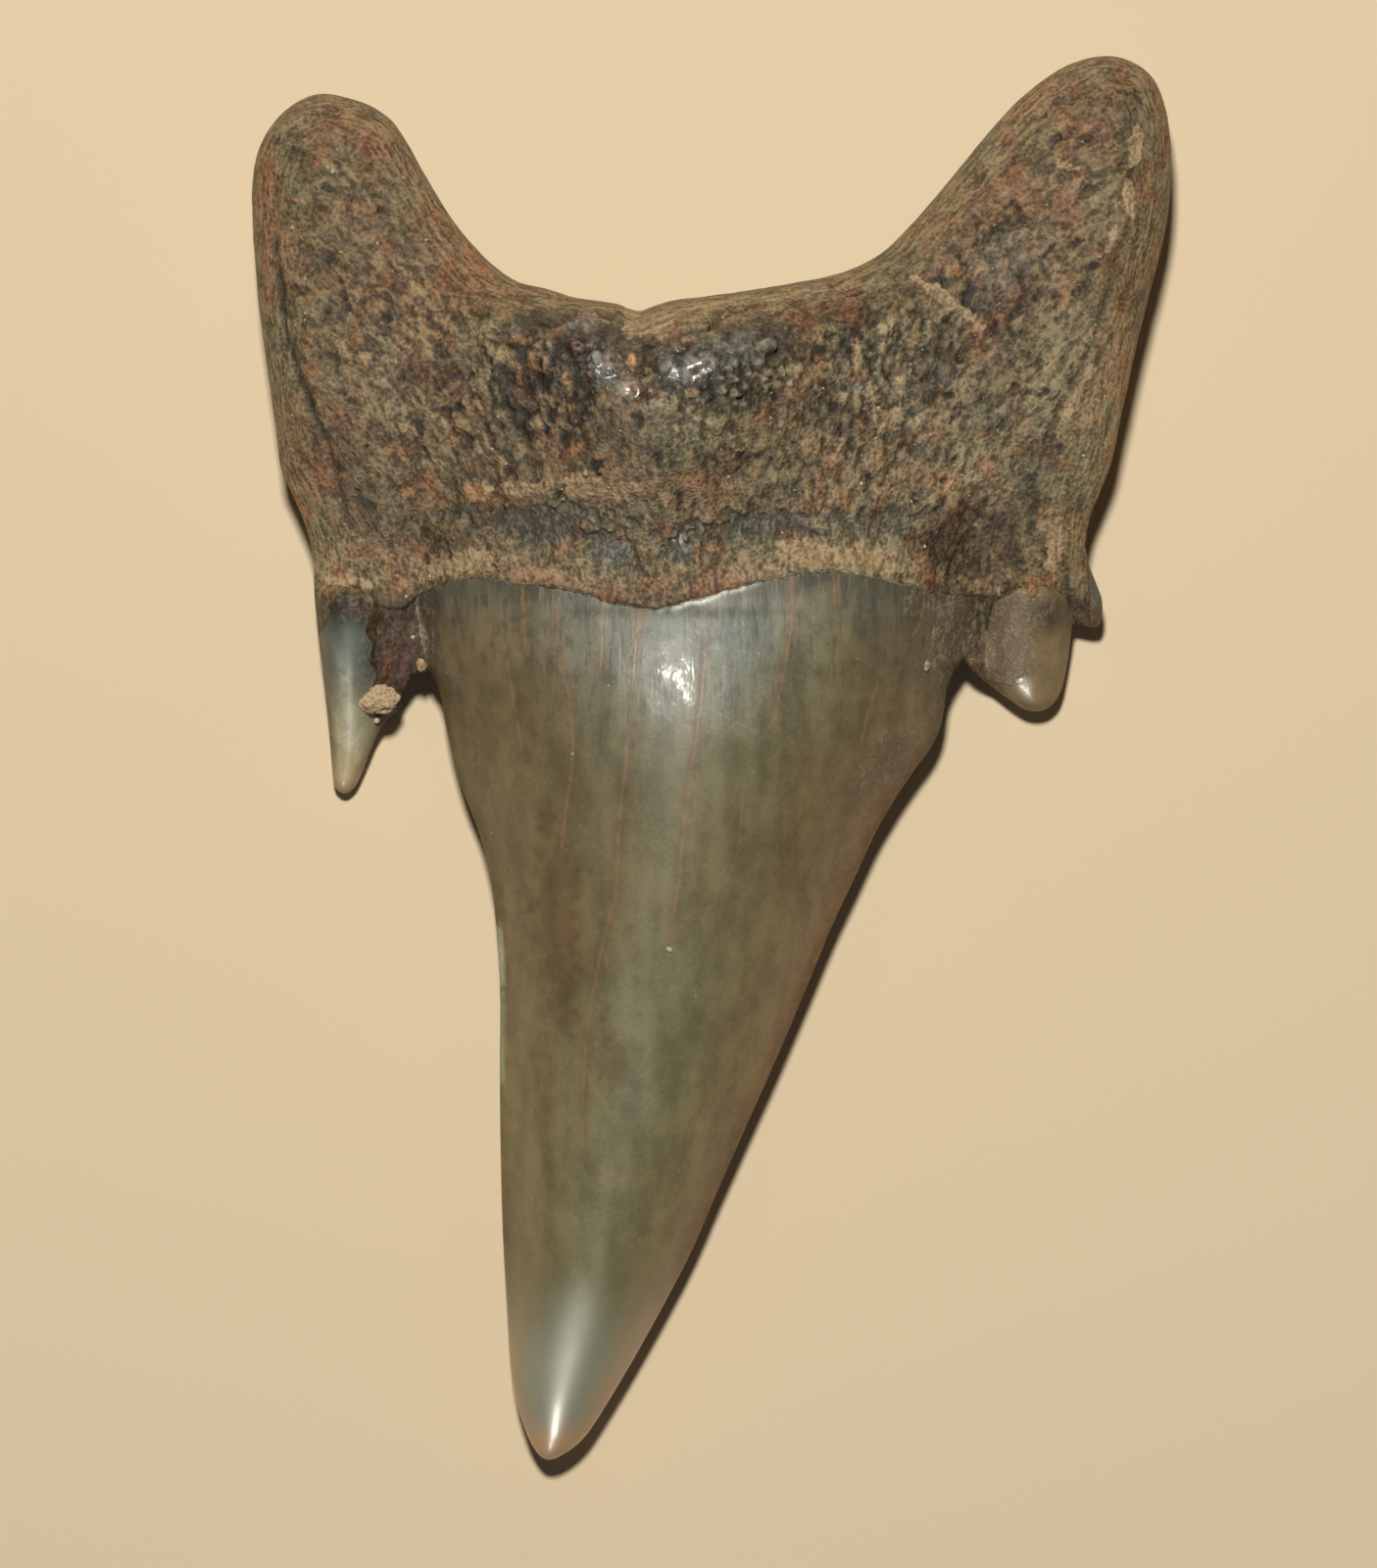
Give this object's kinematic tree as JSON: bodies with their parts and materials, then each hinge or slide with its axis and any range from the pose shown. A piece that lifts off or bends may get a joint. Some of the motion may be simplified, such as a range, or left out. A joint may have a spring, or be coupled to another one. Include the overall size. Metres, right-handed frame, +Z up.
{
  "type": "fossil shark tooth",
  "caption": "Fossil sand-shark tooth lying on its outer face: a tall smooth crown with sharp edges, small side cusplets, and a thick pitted root with spread lobes.",
  "frame": {"origin": "centre of the tooth's outline, on the surface that it lies on", "axes": "+X across the root, +Y from the crown's tip towards the root lobes, +Z up out of the rounded inner face"},
  "size_m": [0.0274, 0.042, 0.0097],
  "materials": {
    "fossil_tooth": "mineralised tooth: glossy olive-grey enameloid on the crown and cusplets, satin brown pitted bone on the root"
  },
  "bodies": {
    "root": {"tooth": "fossil_tooth"}
  },
  "joints": []
}
